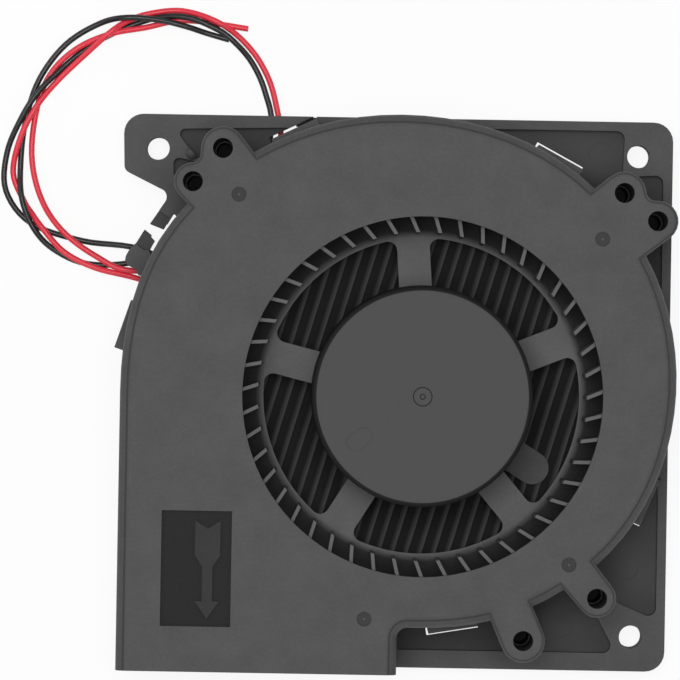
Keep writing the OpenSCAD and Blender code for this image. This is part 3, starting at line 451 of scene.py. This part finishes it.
route_black = [
    (-7.7, 2, 7), (-7.7, 2, 4.6), (-8.8, 2.6, 2.2), (-12.6, 4.8, 1), (-27, 13.4, 0.7),
    (-44, 24, 2.1), (-56, 30.4, 1.8), (-69, 32.1, 0.7), (-80.4, 35.8, 0.7), (-86, 42.8, 0.7),
    (-85.9, 51.2, 0.8), (-82.8, 58.8, 2), (-79.4, 64.3, 2.2), (-75, 69, 1.3), (-70.1, 73.4, 0.7),
    (-64.2, 77.2, 0.7), (-55, 81, 0.7), (-47.4, 81.6, 1.9), (-40.6, 79.2, 2), (-36.6, 76.5, 2),
    (-32.4, 71.8, 0.8), (-29.4, 65.3, 0.7), (-28, 57, 0.7), (-31.5, 41, 0.7), (-43, 31.2, 0.7),
    (-58, 27.5, 0.7), (-68, 27.1, 0.7), (-75.4, 30.2, 0.9), (-79.8, 34.8, 2), (-82.4, 41.2, 2.1),
    (-82.9, 48.5, 0.7), (-82, 58, 0.7), (-79.1, 67.4, 0.7), (-73.4, 75.2, 0.7), (-66, 79.9, 1),
    (-60, 81.2, 2.6), (-53, 80.8, 2.2), (-47, 79.5, 1.8), (-42.6, 78.2, 0.8), (-37.5, 76.8, 0.7),
]


def smooth_route(points):
    """A rounded line through the points, in metres, which rests on the ground and never sinks in."""
    made = []
    last = len(points) - 1
    for i in range(last):
        p0, p1, p2, p3 = (Vector(points[min(max(j, 0), last)]) for j in (i - 1, i, i + 1, i + 2))
        for k in range(STEPS_PER_SPAN):
            t = k / STEPS_PER_SPAN
            slope = (p2 - p0) * t
            bend = (2 * p0 - 5 * p1 + 4 * p2 - p3) * t**2
            twist = (3 * p1 - p0 - 3 * p2 + p3) * t**3
            made.append(p1 + (slope + bend + twist) / 2)
    made.append(Vector(points[-1]))
    return [Vector((p.x, p.y, max(p.z, LEAD_D / 2))) * MM for p in made]


def lay_lead(name, route, material, node_name):
    """A round lead along its route, flat at both ends, where it is soldered and where it is cut."""
    points = smooth_route(route)
    curve = bpy.data.curves.new(name, "CURVE")
    curve.dimensions = "3D"
    curve.bevel_depth = LEAD_D / 2 * MM
    curve.bevel_resolution = 4
    curve.use_fill_caps = True
    spline = curve.splines.new("POLY")
    spline.points.add(len(points) - 1)
    for point, place in zip(spline.points, points):
        point.co = (*place, 1)
    spline.use_smooth = True
    lead = bpy.data.objects.new(name, curve)
    scene.collection.objects.link(lead)
    curve.materials.append(material)
    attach(lead, "housing")
    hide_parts(node_name)


lay_lead("red_lead_wire", route_red, red_pvc, "lead_red")
lay_lead("black_lead_wire", route_black, black_pvc, "lead_black")


# Studio, in metres and watts
WHITE = (1, 1, 1, 1)
FLOOR_HALF = 3.0
# The floor lies this much lower than the object, so that no two faces share a plane
FLOOR_DROP = 0.00005
# The share of pure white in what the camera sees of the floor, and the strength of the even light
FLOOR_GLOW = 0.88
WORLD_STRENGTH = 0.22
# Each soft box has a place, a size and a power
SOFT_BOXES = {
    "top_box": ((-0.05, 0.08, 1.0), (0.5, 0.5), 6.3),
    "left_box": ((-0.9, 0.5, 0.5), (0.6, 0.4), 2.6),
    "front_box": ((-0.2, -1.0, 0.45), (0.6, 0.4), 2.4),
    "right_box": ((0.95, 0.2, 0.45), (0.6, 0.4), 1.8),
}


def white_floor():
    """A matt white card that takes the object's shadow. The camera and glossy surfaces see it
    mostly as pure white."""
    corners = [
        (x * FLOOR_HALF, y * FLOOR_HALF, -FLOOR_DROP) for x, y in ((-1, -1), (1, -1), (1, 1), (-1, 1))
    ]
    mesh = bpy.data.meshes.new("studio_floor")
    mesh.from_pydata(corners, [], [(0, 1, 2, 3)])
    floor = bpy.data.objects.new("studio_floor", mesh)
    scene.collection.objects.link(floor)
    material, tree = blank_material("white_card")
    path = add_node(tree, "ShaderNodeLightPath")
    seen = add_node(
        tree, "ShaderNodeMath", {"operation": "MAXIMUM"},
        {0: path.outputs["Is Camera Ray"], 1: path.outputs["Is Glossy Ray"]},
    )
    amount = add_node(tree, "ShaderNodeMath", {"operation": "MULTIPLY", 1: FLOOR_GLOW}, {0: seen})
    card = add_node(tree, "ShaderNodeBsdfDiffuse", {"Color": linear("#f4f4f4")})
    glow = add_node(tree, "ShaderNodeEmission", {"Color": WHITE, "Strength": 1.0})
    mixed = add_node(tree, "ShaderNodeMixShader", links={0: amount, 1: card, 2: glow})
    add_node(tree, "ShaderNodeOutputMaterial", links={"Surface": mixed})
    mesh.materials.append(material)


def white_world():
    """Weak even light from all round, which the camera sees as pure white."""
    world = bpy.data.worlds.new("studio_world")
    scene.world = world
    world.use_nodes = True
    tree = world.node_tree
    tree.nodes.clear()
    path = add_node(tree, "ShaderNodeLightPath")
    light = add_node(tree, "ShaderNodeBackground", {"Color": WHITE, "Strength": WORLD_STRENGTH})
    backdrop = add_node(tree, "ShaderNodeBackground", {"Color": WHITE, "Strength": 1.0})
    mixed = add_node(
        tree, "ShaderNodeMixShader", links={0: path.outputs["Is Camera Ray"], 1: light, 2: backdrop}
    )
    add_node(tree, "ShaderNodeOutputWorld", links={"Surface": mixed})


def soft_box(name, place, size, power):
    """A rectangular lamp that faces the object."""
    light = bpy.data.lights.new(name, "AREA")
    light.shape = "RECTANGLE"
    light.size, light.size_y = size
    light.energy = power
    lamp = bpy.data.objects.new(name, light)
    scene.collection.objects.link(lamp)
    lamp.location = place
    lamp.rotation_euler = (-Vector(place)).to_track_quat("-Z", "Y").to_euler()


white_floor()
white_world()
for name, (place, size, power) in SOFT_BOXES.items():
    soft_box(name, place, size, power)
scene.view_settings.view_transform = "Standard"
